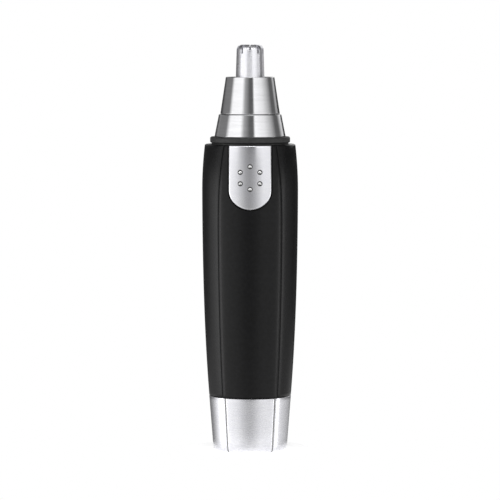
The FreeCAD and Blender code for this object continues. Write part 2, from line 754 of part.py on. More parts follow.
def switch_carrier():
    """Plate behind the shell, joined to the button by a stem through the shell's slot."""
    plate = sector(CARRIER_R[1], CARRIER_R[0], CARRIER_Z, 0, CARRIER_HALF_DEG)
    stem = block((-STEM_HALF_W, STEM_HALF_W), (-LONG, STEM_BACK_Y), STEM_Z)
    return plate.fuse(stem.common(rod(BUTTON_IN_R - FIT, 0, LONG))).removeSplitter()


def switch_contact_bridge():
    """Copper bridge that joins the two fixed contacts once the button is up."""
    bar = block((-BRIDGE_HALF_W, BRIDGE_HALF_W), BRIDGE_Y, BRIDGE_Z)
    peg = block((-BRIDGE_PEG_HALF_W, BRIDGE_PEG_HALF_W), BRIDGE_PEG_Y, BRIDGE_PEG_Z)
    return bar.fuse(peg).cut(switch_carrier())


def switch_base():
    """Insulating block on the motor that holds the two fixed contacts."""
    back_y = -MOTOR_HALF_FLAT - 2 * FIT
    base = block((-SWITCH_BASE_HALF_W, SWITCH_BASE_HALF_W), (SWITCH_BASE_FRONT_Y, back_y), SWITCH_BASE_Z)
    return base.cut([negative_strip(), motor_feed_strip()])


# ---- head ---------------------------------------------------------------------------------


def head_cone():
    """Metal cone, open at the foot, with a lid that has a hole for the cutter tube."""
    lid_z = CONE_TOP_Z - CONE_WALL
    hole_r = TUBE_FOOT_R + FIT
    cone = turned([
        (CONE_FOOT_R - CONE_WALL, CONE_FOOT_Z), (CONE_FOOT_R, CONE_FOOT_Z), (CONE_TOP_R, CONE_TOP_Z),
        (hole_r, CONE_TOP_Z), (hole_r, lid_z), (CONE_TOP_R - CONE_WALL, lid_z),
    ])
    return round_rims(cone, METAL_ROUND, [(CONE_FOOT_R, CONE_FOOT_Z), (CONE_TOP_R, CONE_TOP_Z)])


def cutter_tube():
    """Guard tube with a slotted, closed tip and a flange that the cone clamps."""
    flange_top_z = CONE_TOP_Z - CONE_WALL - FIT
    plate_z = TOTAL_H - TIP_PLATE_T
    sleeve = turned([
        (TUBE_IN_R, TUBE_FLANGE_FOOT_Z), (TUBE_FLANGE_R, TUBE_FLANGE_FOOT_Z), (TUBE_FLANGE_R, flange_top_z),
        (TUBE_FOOT_R, flange_top_z), (TUBE_FOOT_R, CONE_TOP_Z), (TUBE_TIP_R, TOTAL_H), (0, TOTAL_H),
        (0, plate_z), (TUBE_IN_R, plate_z),
    ])
    sleeve = round_rims(sleeve, TIP_ROUND, [(TUBE_TIP_R, TOTAL_H)])
    sleeve = round_rims(sleeve, TIP_INNER_ROUND, [(TUBE_IN_R, plate_z)])
    slot = block((-TIP_SLOT_W / 2, TIP_SLOT_W / 2), (-LONG, -TIP_SLOT_IN_R), (TIP_SLOT_FOOT_Z, LONG))
    turns = [index * 360 / TIP_SLOT_COUNT for index in range(TIP_SLOT_COUNT)]
    return sleeve.cut([turned_about_axis(slot, turn) for turn in turns])


def head_insert():
    """Plastic core of the head: it clamps the tube's flange and carries the bayonet lugs."""
    low_z, high_z = INSERT_Z
    core = turned([
        (INSERT_BORE_R, low_z), (INSERT_NECK_R, low_z), (INSERT_NECK_R, INSERT_FLANGE_Z[0]),
        (INSERT_FLANGE_R, INSERT_FLANGE_Z[0]), (INSERT_FLANGE_R, INSERT_FLANGE_Z[1]),
        (INSERT_TOP_R, INSERT_SHOULDER_Z), (INSERT_TOP_R, high_z), (INSERT_BORE_R, high_z),
    ])
    lug_root_r = INSERT_NECK_R - LUG_ROOT_DEPTH
    return core.multiFuse(bayonet_lugs(HEAD_LUG_R, lug_root_r, HEAD_LUG_Z, HEAD_LUG_FIRST_DEG))


def spindle_bush():
    return tube(INSERT_BORE_R - FIT, SPINDLE_R + SHAFT_RUN, *LOWER_BUSH_Z)


def tip_bush():
    return tube(TUBE_IN_R - FIT, SPINDLE_R + SHAFT_RUN, *UPPER_BUSH_Z)


def blade_spindle():
    """Spindle with a hub and two dogs at its foot, a quarter turn from the driver's dogs."""
    hub = rod(DOG_R, *SPINDLE_HUB_Z)
    pin = rod(SPINDLE_PIN_R, SPINDLE_Z[1], SPINDLE_PIN_TOP_Z)
    return rod(SPINDLE_R, *SPINDLE_Z).multiFuse([hub, pin] + dog_pair(DRIVEN_DOG_Z, 0)).removeSplitter()


def inner_blade():
    """Two crossed plates whose top edges shear against the inside of the slotted tip."""
    top_z = TOTAL_H - TIP_PLATE_T - BLADE_TIP_GAP
    flat_half_w = BLADE_HALF_W - BLADE_CORNER
    corner_z = top_z - BLADE_CORNER
    outline = [(-BLADE_HALF_W, BLADE_FOOT_Z), (BLADE_HALF_W, BLADE_FOOT_Z), (BLADE_HALF_W, corner_z),
               (flat_half_w, top_z), (-flat_half_w, top_z), (-BLADE_HALF_W, corner_z)]
    points = [vec(x, -BLADE_T / 2, z) for x, z in outline]
    plate = Part.Face(Part.makePolygon(points + [points[0]])).extrude(vec(0, BLADE_T, 0))
    hub = rod(BLADE_HUB_R, BLADE_FOOT_Z, BLADE_FOOT_Z + BLADE_HUB_H)
    pin_hole = rod(SPINDLE_PIN_R, BLADE_FOOT_Z - OVER, SPINDLE_PIN_TOP_Z)
    return plate.multiFuse([turned_about_axis(plate, 90), hub]).cut(pin_hole)


def blade_spring():
    return coil(BLADE_SPRING_R, BLADE_SPRING_R, BLADE_SPRING_WIRE_R, BLADE_SPRING_Z, BLADE_SPRING_TURNS)


# ---- end cap ------------------------------------------------------------------------------


def end_cap():
    """Outer skin of the end cap, with its rounded foot and the cup that takes the plug."""
    blank = panel_loft(0, CAP_TOP_Z, CAP_SPANS, cap_radius, cap_crease_deg)
    foot = round_rims(rod(CAP_FOOT_LIMIT_R, 0, CAP_FOOT_LIMIT_H), CAP_FOOT_ROUND, [(CAP_FOOT_LIMIT_R, 0)])
    upper = rod(CAP_TOP_R + OVER, CAP_FOOT_LIMIT_H - 2 * FIT, CAP_TOP_Z + OVER)
    return blank.common(foot.fuse(upper)).cut(rod(CUP_R, CUP_FLOOR_Z, LONG))


def end_cap_plug():
    """Plug inside the cap: a cup for the cell's foot, a seal groove and the bayonet lugs."""
    seal_low_z, seal_high_z = SEAL_GROOVE_Z
    plug = turned([
        (0, PLUG_FOOT_Z), (PLUG_FOOT_R, PLUG_FOOT_Z), (PLUG_FOOT_R, CAP_TOP_Z), (PLUG_R, CAP_TOP_Z),
        (PLUG_R, seal_low_z), (SEAL_GROOVE_R, seal_low_z), (SEAL_GROOVE_R, seal_high_z),
        (PLUG_R, seal_high_z), (PLUG_R, PLUG_TOP_Z), (PLUG_IN_R, PLUG_TOP_Z),
        (PLUG_IN_R, PLUG_FLOOR_Z), (0, PLUG_FLOOR_Z),
    ])
    plug = plug.multiFuse(bayonet_lugs(CAP_LUG_R, CUP_R, CAP_LUG_Z, CAP_LUG_FIRST_DEG))
    slot_z = (PLUG_FLOOR_Z - 2 * FIT, PLUG_TOP_Z + OVER)
    return plug.cut(block((-RISER_SLOT_HALF_W, RISER_SLOT_HALF_W), RISER_SLOT_Y, slot_z))


def end_cap_seal():
    middle_z = sum(SEAL_GROOVE_Z) / 2
    return Part.makeTorus(SEAL_RING_R, SEAL_WIRE_R, vec(0, 0, middle_z))


def cap_contact():
    """Spring seat at the foot, a riser in the plug's wall and a contact ring at the top."""
    foot_z = (PLUG_FLOOR_Z, PLUG_FLOOR_Z + STRIP_T)
    ring_z = (PLUG_TOP_Z, PLUG_TOP_Z + STRIP_T)
    riser_x = (-RISER_HALF_W, RISER_HALF_W)
    link = block(riser_x, (RISER_FOOT_Y, RISER_Y[1]), foot_z)
    riser = block(riser_x, RISER_Y, (PLUG_FLOOR_Z, PLUG_TOP_Z + STRIP_T / 2))
    ring = tube(CONTACT_RING_R, RISER_Y[0], *ring_z)
    return rod(SPRING_SEAT_R, *foot_z).multiFuse([link, riser, ring]).removeSplitter()


def battery_spring():
    return coil(BATTERY_SPRING_FOOT_R, BATTERY_SPRING_TOP_R, BATTERY_SPRING_WIRE_R, BATTERY_SPRING_Z,
                BATTERY_SPRING_TURNS)


PARTS = [
    body_shell, chassis_front, chassis_rear, neck_mount, neck_screws, collar_seal, trim_ring,
    battery_cell, battery_sleeve, positive_contact, negative_strip, motor_feed_strip,
    motor_can, motor_end_bell, motor_front_bush, motor_rear_bush, motor_magnets, motor_terminals,
    motor_brushes, motor_shaft, commutator, armature_core, armature_windings, drive_coupling,
    switch_button, switch_carrier, switch_contact_bridge, switch_base,
    head_cone, cutter_tube, head_insert, spindle_bush, tip_bush,
    blade_spindle, inner_blade, blade_spring,
    end_cap, end_cap_plug, end_cap_seal, cap_contact, battery_spring,
]

os.makedirs("parts", exist_ok=True)
for make in PARTS:
    make().exportStep("parts/" + make.__name__ + ".step")
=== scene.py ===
import bpy
import bmesh
import json
import math
from mathutils import Matrix, Vector


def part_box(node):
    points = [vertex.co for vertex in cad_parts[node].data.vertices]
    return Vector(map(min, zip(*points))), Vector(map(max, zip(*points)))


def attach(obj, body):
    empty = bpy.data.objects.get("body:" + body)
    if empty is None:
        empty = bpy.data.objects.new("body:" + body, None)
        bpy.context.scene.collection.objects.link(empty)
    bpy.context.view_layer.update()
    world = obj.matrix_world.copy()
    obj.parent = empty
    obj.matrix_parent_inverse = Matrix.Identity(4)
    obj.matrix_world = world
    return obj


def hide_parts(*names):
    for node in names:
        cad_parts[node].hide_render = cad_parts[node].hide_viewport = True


# Looks of the nose hair trimmer. Metres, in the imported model's frame: +Z up the tool, -Y the front
# with the switch. Plan angles are in degrees from the front towards +X.

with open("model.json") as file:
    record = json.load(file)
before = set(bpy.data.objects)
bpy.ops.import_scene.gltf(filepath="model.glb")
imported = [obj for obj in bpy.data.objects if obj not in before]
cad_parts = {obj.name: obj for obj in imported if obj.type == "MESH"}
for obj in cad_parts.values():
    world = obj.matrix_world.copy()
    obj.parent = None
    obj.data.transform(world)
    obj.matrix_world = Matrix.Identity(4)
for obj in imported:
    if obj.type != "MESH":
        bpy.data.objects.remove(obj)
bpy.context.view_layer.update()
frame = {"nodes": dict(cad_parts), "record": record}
nodes = frame["nodes"]

MM = 0.001


def span(node):
    """Lowest and highest corner of a CAD node, in millimetres."""
    low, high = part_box(node)
    return low / MM, high / MM


# ---- sizes in millimetres ------------------------------------------------------------------

body_low, body_high = span("body_shell")
_, cap_high = span("end_cap")
button_low, button_high = span("switch_button")
collar_low, collar_high = span("collar_seal")
ring_low, ring_high = span("trim_ring")
cone_low, cone_high = span("head_cone")
tip_low, tip_high = span("cutter_tube")

# Body: a barrel whose radius falls from its widest height to the foot by a mix of two powers.
BODY_FOOT_Z, BODY_TOP_Z = body_low.z, body_high.z
BODY_WIDEST_R = body_high.x
BODY_WIDEST_Z = 80.3
BODY_TOP_R = 13.91
BODY_FOOT_R = 12.63
BODY_TAPER = [(0.43, 1.5), (0.57, 3)]
BODY_FOOT_ROUND = 0.12
BODY_TOP_ROUND = 0.4
BODY_LEVELS = 96
BORE_R = 11.0
BORE_TOP_EASE = 0.3
BORE_FOOT_EASE = 0.2
NECK_R = 9.15

# End cap: a cone with a rounded foot, a flat base and a round cup inside.
CAP_FOOT_R = 11.3
CAP_TOP_R = 12.63
CAP_FOOT_ROUND = 1.1
CAP_TOP_ROUND = 0.15
CAP_LEVELS = 16
CAP_BASE_RINGS_R = [4, 8]
CAP_CUP_R = 10.0
CAP_CUP_FLOOR_Z = 1.6

# Creases: four on the body and four on the cap. A profile holds (distance, fall) pairs along the
# outside from the edge of the front panel, and the side panel starts a little past its end.
CREASE_DEPTH = 0.45
CREASE_WIDTH = 1.15
CREASE_DEG = 42.0
CREASE_NARROWING_DEG = 6.5
CREASE_NARROWS_FROM_Z = 68.0
CAP_CREASE_DEG = 38.6
BODY_CREASE = [
    (0.0, 0.0), (0.1, 0.002), (0.2, 0.008), (0.85, 0.055), (0.92, 0.075), (0.97, 0.13),
    (1.01, 0.27), (1.05, 0.48), (1.1, 0.63), (1.18, 0.7), (1.28, 0.69), (1.36, 0.6), (1.42, 0.5),
    (1.5, 0.44),
]
CAP_CREASE = [
    (0.0, 0.0), (0.3, 0.0), (0.5, 0.004), (0.58, 0.03), (0.62, 0.1), (0.66, 0.24), (0.7, 0.4),
    (0.78, 0.46), (1.12, 0.46), (1.2, 0.4), (1.26, 0.34), (1.34, 0.32), (1.42, 0.34),
]
CREASE_PANEL_START = 1.62
PANEL_STEPS = 24
# Painted shade in the cap's creases: a thin dark grey strip sunk in each crease, by these sizes.
CAP_LINE_MIDDLE = 0.9
CAP_LINE_W = 0.64
CAP_LINE_SINK = 0.2
CAP_LINE_DEPTH = 0.4
CAP_LINE_LIFT = 0.02

# Switch: a curved U plate with six dots, in a recess. The shares shrink the U outline towards its
# middle, ring by ring, to close the plate's face and back and the recess floor.
BUTTON_HALF_W = 6.5
BUTTON_PROUD = 0.25
BUTTON_BACK_R = 12.95
BUTTON_ROUND_H = 6.0
BUTTON_RIM = 0.35
BUTTON_MIDDLE_H = 10.0
FACE_SHARES = [1 - 0.045 * step for step in range(1, 22)]
BACK_SHARES = [0.84, 0.68, 0.52, 0.36, 0.2, 0.08]
RECESS_R = 12.75
RECESS_GAP = 0.3
RECESS_CUT_PAST = 3
RECESS_FLOOR_SHARES = [0.85, 0.68, 0.5, 0.32, 0.15]
STEM_SLOT_HALF_W = 1.9
STEM_SLOT_Z = (80.7, 89.3)
DOTS = 6
DOT_PITCH_R = 3.45
DOT_R = 0.56
DOT_H = 0.38
DOT_ROOT = 0.25
# Painted shade round each dot: a thin dark grey disc under the dome stands for its dark outline.
DOT_SHADE_RING_R = 0.8
DOT_SHADE_RING_H = 0.035
DOT_SHADE_RING_ROOT = 0.2
DOT_CENTRE_Z = 84.7

# Cutter tube: its slots leave the middle of the tip closed.
TIP_SLOTS = 10
TIP_SLOT_W = 0.6
TIP_SLOT_H = 2.7
TIP_SLOT_IN_R = 1.5
TIP_SLOT_OUT_R = 6

# How far a cutter runs past what it cuts, radii that stand for a point on the axis, and the
# distance in metres under which vertices merge.
CUT_PAST = 1
AXIS_R = 0.01
SMALLEST_R = 1e-4
WELD_M = 1e-7


# ---- shader helpers ------------------------------------------------------------------------


class Shader:
    """A material with one Principled shader, and short calls that add nodes to it."""

    def __init__(self, name, colour, metallic, roughness, **sockets):
        self.material = bpy.data.materials.new(name)
        self.material.use_nodes = True
        self.tree = self.material.node_tree
        self.bsdf = next(n for n in self.tree.nodes if n.type == "BSDF_PRINCIPLED")
        self.bsdf.inputs["Base Color"].default_value = (*colour, 1)
        self.bsdf.inputs["Metallic"].default_value = metallic
        self.bsdf.inputs["Roughness"].default_value = roughness
        for socket, value in sockets.items():
            self.bsdf.inputs[socket.replace("_", " ")].default_value = value
        self.place = self.add("ShaderNodeTexCoord").outputs["Object"]
        self.normal = None

    def add(self, kind, **settings):
        node = self.tree.nodes.new(kind)
        for key, value in settings.items():
            setattr(node, key, value)
        return node

    def link(self, output, target):
        self.tree.links.new(output, target)

    def stretched(self, scale):
        """Object position, scaled on each axis, so that noise runs long or short."""
        mapping = self.add("ShaderNodeMapping")
        mapping.inputs["Scale"].default_value = scale
        self.link(self.place, mapping.inputs["Vector"])
        return mapping.outputs["Vector"]

    def noise(self, scale, stretch=(1, 1, 1), detail=3.0, rough=0.5):
        """Noise with so many features a metre."""
        node = self.add("ShaderNodeTexNoise")
        node.inputs["Scale"].default_value = scale
        node.inputs["Detail"].default_value = detail
        node.inputs["Roughness"].default_value = rough
        self.link(self.stretched(stretch), node.inputs["Vector"])
        return node.outputs["Fac"]

    def ramp(self, fac, stops):
        """Colour ramp through (position, colour) stops."""
        node = self.add("ShaderNodeValToRGB")
        elements = node.color_ramp.elements
        while len(elements) < len(stops):
            elements.new(0.5)
        for element, (position, colour) in zip(elements, stops):
            element.position = position
            element.color = (*colour, 1) if len(colour) == 3 else colour
        self.link(fac, node.inputs["Fac"])
        return node.outputs["Color"]

    def spread(self, fac, low, high):
        """Map the middle of a noise, 0.3 to 0.7, to low..high."""
        node = self.add("ShaderNodeMapRange")
        node.inputs["From Min"].default_value = 0.3
        node.inputs["From Max"].default_value = 0.7
        node.inputs["To Min"].default_value = low
        node.inputs["To Max"].default_value = high
        self.link(fac, node.inputs["Value"])
        return node.outputs["Result"]

    def tint(self, fac, dark, light):
        self.link(self.ramp(fac, [(0.35, dark), (0.65, light)]), self.bsdf.inputs["Base Color"])

    def shine(self, fac, low, high):
        self.link(self.spread(fac, low, high), self.bsdf.inputs["Roughness"])

    def bump(self, fac, height_mm, strength=1.0):
        """Raise the surface by a height; calls stack."""
        node = self.add("ShaderNodeBump")
        node.inputs["Strength"].default_value = strength
        node.inputs["Distance"].default_value = height_mm * MM
        self.link(fac, node.inputs["Height"])
        if self.normal:
            self.link(self.normal, node.inputs["Normal"])
        self.normal = node.outputs["Normal"]
        self.link(self.normal, self.bsdf.inputs["Normal"])


def grey(value, tint=0.0):
    """Linear grey with a touch of blue."""
    return (value, value, value * (1 + tint))


# ---- materials -----------------------------------------------------------------------------


def soft_touch_black():
    s = Shader("soft_touch_black", grey(0.008), 0.0, 0.21, Specular_IOR_Level=0.19)
    s.tint(s.noise(900, detail=4), grey(0.0065, 0.04), grey(0.0092, 0.06))
    s.shine(s.noise(260, detail=5), 0.19, 0.23)
    s.bump(s.noise(5200, detail=3), 0.006)
    s.bump(s.noise(700, detail=2), 0.004)
    return s.material


def moulded_black():
    s = Shader("moulded_black", grey(0.02), 0.0, 0.5)
    s.tint(s.noise(600, detail=4), grey(0.015), grey(0.026))
    s.shine(s.noise(500), 0.42, 0.58)
    s.bump(s.noise(2600), 0.02)
    return s.material


def rubber_black():
    s = Shader("rubber_black", grey(0.027), 0.0, 0.55, Specular_IOR_Level=0.5)
    s.tint(s.noise(1100, detail=5), grey(0.02), grey(0.031))
    s.shine(s.noise(800), 0.48, 0.62)
    s.bump(s.noise(4200, detail=4), 0.02)
    return s.material


def turned_steel(name, value, low, high):
    """Steel with fine rings round the axis from turning."""
    s = Shader(name, grey(value), 1.0, low)
    s.tint(s.noise(120, (1, 1, 12), detail=6), grey(value * 0.93, 0.02), grey(value, 0.02))
    s.shine(s.noise(90, (1, 1, 60), detail=6), low, high)
    s.bump(s.noise(60, (0.4, 0.4, 160), detail=4), 0.0022)
    return s.material


def satin_silver(name, value, low, high, grain, spread_amount, lean_deg=0.0):
    """Satin metal with fine rings of grain round the tool, which spread highlights up and down.

    A lean tips the shading a little up all over, as if each ring of grain faced up.
    """
    s = Shader(name, grey(value, 0.035), 1.0, low,
               Anisotropic=spread_amount, Anisotropic_Rotation=0.25)
    tangent = s.add("ShaderNodeTangent", direction_type="RADIAL", axis="Z")
    s.link(tangent.outputs["Tangent"], s.bsdf.inputs["Tangent"])
    s.tint(s.noise(300, (1, 1, 3), detail=5), grey(value * 0.96, 0.05), grey(value, 0.035))
    s.shine(s.noise(400, (1, 1, 6), detail=4), low, high)
    s.bump(s.noise(700, (0.5, 0.5, 9), detail=3), grain)
    if lean_deg:
        drop = s.add("ShaderNodeMath", operation="MULTIPLY")
        drop.inputs[1].default_value = -1 / MM
        heights = s.add("ShaderNodeSeparateXYZ")
        s.link(s.place, heights.inputs[0])
        s.link(heights.outputs["Z"], drop.inputs[0])
        s.bump(drop.outputs[0], math.tan(math.radians(lean_deg)))
    return s.material


def dull_grey(name, value):
    s = Shader(name, grey(value), 0.0, 0.4)
    s.tint(s.noise(900), grey(value * 0.85), grey(value * 1.15))
    s.shine(s.noise(900), 0.36, 0.5)
    s.bump(s.noise(3000), 0.004)
    return s.material


def pale_acetal():
    s = Shader("pale_acetal", grey(0.68), 0.0, 0.4,
               Subsurface_Weight=0.1, Subsurface_Scale=0.001)
    s.tint(s.noise(300), (0.62, 0.61, 0.57), (0.7, 0.69, 0.66))
    s.shine(s.noise(700), 0.34, 0.46)
    s.bump(s.noise(2200), 0.01)
    return s.material


def plated_metal(name, colour, roughness):
    s = Shader(name, colour, 1.0, roughness)
    dark = tuple(0.82 * channel for channel in colour)
    s.tint(s.noise(700, detail=5), dark, colour)
    s.shine(s.noise(900, detail=4), roughness - 0.06, roughness + 0.08)
    s.bump(s.noise(2500), 0.004)
    return s.material


def ferrite():
    s = Shader("ferrite", grey(0.04), 0.2, 0.6)
    s.tint(s.noise(2500, detail=6), grey(0.03), grey(0.055))
    s.shine(s.noise(1500), 0.5, 0.7)
    s.bump(s.noise(3500, detail=5), 0.02)
    return s.material


def wound_copper():
    s = Shader("wound_copper", (0.6, 0.22, 0.08), 1.0, 0.3)
    s.tint(s.noise(900), (0.5, 0.17, 0.06), (0.66, 0.27, 0.11))
    s.shine(s.noise(900), 0.24, 0.38)
    s.bump(s.noise(1400, (0.3, 0.3, 3)), 0.06)
    return s.material


def cell_sleeve():
    s = Shader("cell_sleeve", (0.03, 0.033, 0.04), 0.0, 0.28, Coat_Weight=0.4)
    s.tint(s.noise(200), (0.026, 0.029, 0.036), (0.036, 0.04, 0.05))
    s.shine(s.noise(300), 0.22, 0.34)
    s.bump(s.noise(400, detail=2), 0.01)
    return s.material


MATERIALS = {
    "soft_touch_black": soft_touch_black(),
    "inner_plastic": moulded_black(),
    "black_rubber": rubber_black(),
    "head_metal": turned_steel("turned_head_steel", 0.8, 0.11, 0.14),
    "cutter_steel": satin_silver("satin_cutter_steel", 0.9, 0.27, 0.31, 0.001, 0.9, lean_deg=6.0),
    "silver_plastic": satin_silver("satin_silver", 0.82, 0.24, 0.29, 0.0012, 0.75),
    "pale_plastic": pale_acetal(),
    "screw_steel": plated_metal("zinc_screw", (0.55, 0.55, 0.53), 0.28),
    "spring_steel": plated_metal("spring_wire", (0.5, 0.5, 0.5), 0.25),
    "contact_metal": plated_metal("nickel_strip", (0.66, 0.64, 0.58), 0.24),
    "motor_steel": plated_metal("zinc_motor_can", (0.56, 0.56, 0.54), 0.34),
    "bearing_brass": plated_metal("sintered_bronze", (0.55, 0.36, 0.16), 0.42),
    "copper": wound_copper(),
    "magnet": ferrite(),
    "cell_metal": plated_metal("cell_can", (0.62, 0.62, 0.62), 0.22),
    "cell_label": cell_sleeve(),
}

# Looks that differ from their CAD slot's own material.
BUTTON_SILVER = satin_silver("button_silver", 0.82, 0.17, 0.21, 0.001, 0.5)
POLISHED_DOT = plated_metal("polished_dot", grey(0.86), 0.16)
# Painted shade: dark grey for the rings round the grip dots.
DOT_PAINTED_SHADE = dull_grey("dot_painted_shade", 0.06)
# Painted shade: dark grey for the strips sunk in the cap's creases.
CREASE_PAINTED_SHADE = dull_grey("crease_painted_shade", 0.25)


def paint(piece, slot_name):
    piece.data.materials.clear()
    piece.data.materials.append(MATERIALS[slot_name])
    for polygon in piece.data.polygons:
        polygon.material_index = 0


for subpart in frame["record"]["subparts"]:
    paint(nodes[subpart["node"]], subpart["material_slot"])


# ---- mesh helpers --------------------------------------------------------------------------


def on_ring(radius, plan_deg, z):
    angle = math.radians(plan_deg)
    return (radius * math.sin(angle), -radius * math.cos(angle), z)


def piece_from(name, vertices_mm, faces):
    """Object from vertices in millimetres, with its normals made to face out."""
    mesh = bpy.data.meshes.new(name)
    mesh.from_pydata([tuple(c * MM for c in v) for v in vertices_mm], [], faces)
    work = bmesh.new()
    work.from_mesh(mesh)
    bmesh.ops.remove_doubles(work, verts=work.verts, dist=WELD_M)
    bmesh.ops.recalc_face_normals(work, faces=work.faces)
    work.to_mesh(mesh)
    work.free()
    piece = bpy.data.objects.new(name, mesh)
    bpy.context.scene.collection.objects.link(piece)
    return piece


def wall_faces(lower, upper, count):
    """Four-sided faces between two rings of vertices, each given by its first vertex."""
    faces = []
    for index in range(count):
        after = (index + 1) % count
        faces.append((lower + index, lower + after, upper + after, upper + index))
    return faces


def stacked(name, rings):
    """Closed solid from rings of points; the last ring joins back to the first."""
    count = len(rings[0])
    vertices = [point for ring in rings for point in ring]
    faces = []
    for level in range(len(rings)):
        faces += wall_faces(level * count, (level + 1) % len(rings) * count, count)
    return piece_from(name, vertices, faces)


def braced(outline, near=0.15):
    """Outline with a point close to each end of its long sides, so that they shade straight."""
    result = []
    for index, corner in enumerate(outline):
        here = Vector(corner)
        run = Vector(outline[(index + 1) % len(outline)]) - here
        result.append(tuple(here))
        if run.length > 4 * near:
            result.append(tuple(here + run.normalized() * near))
            result.append(tuple(here + run - run.normalized() * near))
    return result


def turned(name, outline, sides=160):
    """Ring-shaped solid of revolution from its closed (radius, height) outline."""
    rings = []
    for radius, z in braced(outline):
        radius = max(radius, SMALLEST_R)
        rings.append([on_ring(radius, 360 * index / sides, z) for index in range(sides)])
    return stacked(name, rings)


def rounded(outline, rounds, steps=5):
    """Outline with some corners rounded; rounds maps a corner's index to its radius."""
    result = []
    count = len(outline)
    for index, corner in enumerate(outline):
        here = Vector(corner)
        size = rounds.get(index, 0)
        if not size:
            result.append(tuple(here))
            continue
        before = (Vector(outline[index - 1]) - here).normalized()
        after = (Vector(outline[(index + 1) % count]) - here).normalized()
        half = before.angle(after) / 2
        reach = size / math.tan(half)
        centre = here + (before + after).normalized() * (size / math.sin(half))
        start = here + before * reach - centre
        end = here + after * reach - centre
        for step in range(steps + 1):
            share = step / steps
            sweep = start.lerp(end, share).normalized() * size
            result.append(tuple(centre + sweep))
    return result


def smooth(piece, angle_deg=35):
    """Smooth shading that keeps real edges crisp."""
    bpy.context.view_layer.update()
    for polygon in piece.data.polygons:
        polygon.use_smooth = True
    piece.data.set_sharp_from_angle(angle=math.radians(angle_deg))


replaced = set()


def finish_piece(piece, body, node, slot_name, angle_deg=35):
    """Paint and shade a piece, and say which body it rides and which CAD node it replaces."""
    paint(piece, slot_name)
    smooth(piece, angle_deg)
    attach(piece, body)
    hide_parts(node)
    replaced.add(node)


def carve(piece, cutters):
    """Cut closed meshes out of a piece and keep the result as its mesh."""
    for cutter in cutters:
        change = piece.modifiers.new("carve", "BOOLEAN")
        change.operation = "DIFFERENCE"
        change.solver = "EXACT"
        change.object = cutter
    bpy.context.view_layer.update()
    graph = bpy.context.evaluated_depsgraph_get()
    result = bpy.data.meshes.new_from_object(piece.evaluated_get(graph))
    piece.modifiers.clear()
    piece.data = result
    for cutter in cutters:
        bpy.data.objects.remove(cutter)


def soften(piece, width_mm, angle_deg=30, segments=2):
    """Small round along every hard edge."""
    change = piece.modifiers.new("soften", "BEVEL")
    change.width = width_mm * MM
    change.segments = segments
    change.limit_method = "ANGLE"
    change.angle_limit = math.radians(angle_deg)
    change.harden_normals = True


# ---- outside form --------------------------------------------------------------------------


def body_radius(z):
    if z > BODY_WIDEST_Z:
        rise = (z - BODY_WIDEST_Z) / (BODY_TOP_Z - BODY_WIDEST_Z)
        return BODY_WIDEST_R - (BODY_WIDEST_R - BODY_TOP_R) * rise ** 2
    drop = (BODY_WIDEST_Z - z) / (BODY_WIDEST_Z - BODY_FOOT_Z)
    fall = sum(share * drop ** power for share, power in BODY_TAPER)
    return BODY_WIDEST_R - (BODY_WIDEST_R - BODY_FOOT_R) * fall


def body_crease_deg(z):
    rise = max(0.0, (z - CREASE_NARROWS_FROM_Z) / (BODY_TOP_Z - CREASE_NARROWS_FROM_Z))
    return CREASE_DEG - CREASE_NARROWING_DEG * rise ** 2


def cap_radius(z):
    return CAP_FOOT_R + (CAP_TOP_R - CAP_FOOT_R) * z / cap_high.z


def side_arc_radius(radius, crease_deg, plan_deg):
    """Radius of the side panel's arc through both valleys and the full radius at the side."""
    half_open = math.radians(90 - crease_deg)
    valley_r = radius - CREASE_DEPTH
    sagitta = radius - valley_r * math.cos(half_open)
    half_chord = valley_r * math.sin(half_open)
    arc_r = (half_chord ** 2 + sagitta ** 2) / (2 * sagitta)
    offset = radius - arc_r
    swing = math.radians(plan_deg - 90)
    along = offset * math.cos(swing)
    return along + math.sqrt(along ** 2 + arc_r ** 2 - offset ** 2)


def crease_edge_deg(radius, crease_deg):
    """Plan angle where the front panel ends and the crease begins."""
    return crease_deg - math.degrees(CREASE_WIDTH / radius)


def panel_ring(z, radius, crease_deg, profile, shrink=0.0):
    """Plan outline: raised front and back panels, rounded steps and two side panels."""
    edge_deg = crease_edge_deg(radius, crease_deg)
    quarter = []
    for step in range(PANEL_STEPS):
        quarter.append((radius, edge_deg * step / PANEL_STEPS))
    for along, fall in profile:
        quarter.append((radius - fall, edge_deg + math.degrees(along / radius)))
    panel_deg = edge_deg + math.degrees(CREASE_PANEL_START / radius)
    for step in range(PANEL_STEPS):
        plan_deg = panel_deg + (90 - panel_deg) * step / PANEL_STEPS
        quarter.append((side_arc_radius(radius, crease_deg, plan_deg), plan_deg))
    points = list(quarter) + [(radius, 90.0)]
    points += [(r, 180 - a) for r, a in reversed(quarter)]
    points += [(r, 180 + a) for r, a in quarter[1:]] + [(radius, 270.0)]
    points += [(r, 360 - a) for r, a in reversed(quarter[1:])]
    return [on_ring(r - shrink, a, z) for r, a in points]


def on_front(radius, x, z):
    """Point on the front of a cylinder round the tool's axis."""
    return (x, -math.sqrt(radius ** 2 - x ** 2), z)


def circle_like(ring, radius, z):
    """Round ring with one point at the plan angle of each point of another ring."""
    result = []
    for x, y, _ in ring:
        length = math.hypot(x, y)
        result.append((x * radius / length, y * radius / length, z))
    return result


def edge_levels(size, steps=4):
    """(inset, height) pairs that round an edge, from the side to the face."""
    levels = []
    for step in range(steps + 1):
        angle = math.pi / 2 * step / steps
        levels.append((size * (1 - math.cos(angle)), size * math.sin(angle)))
    return levels


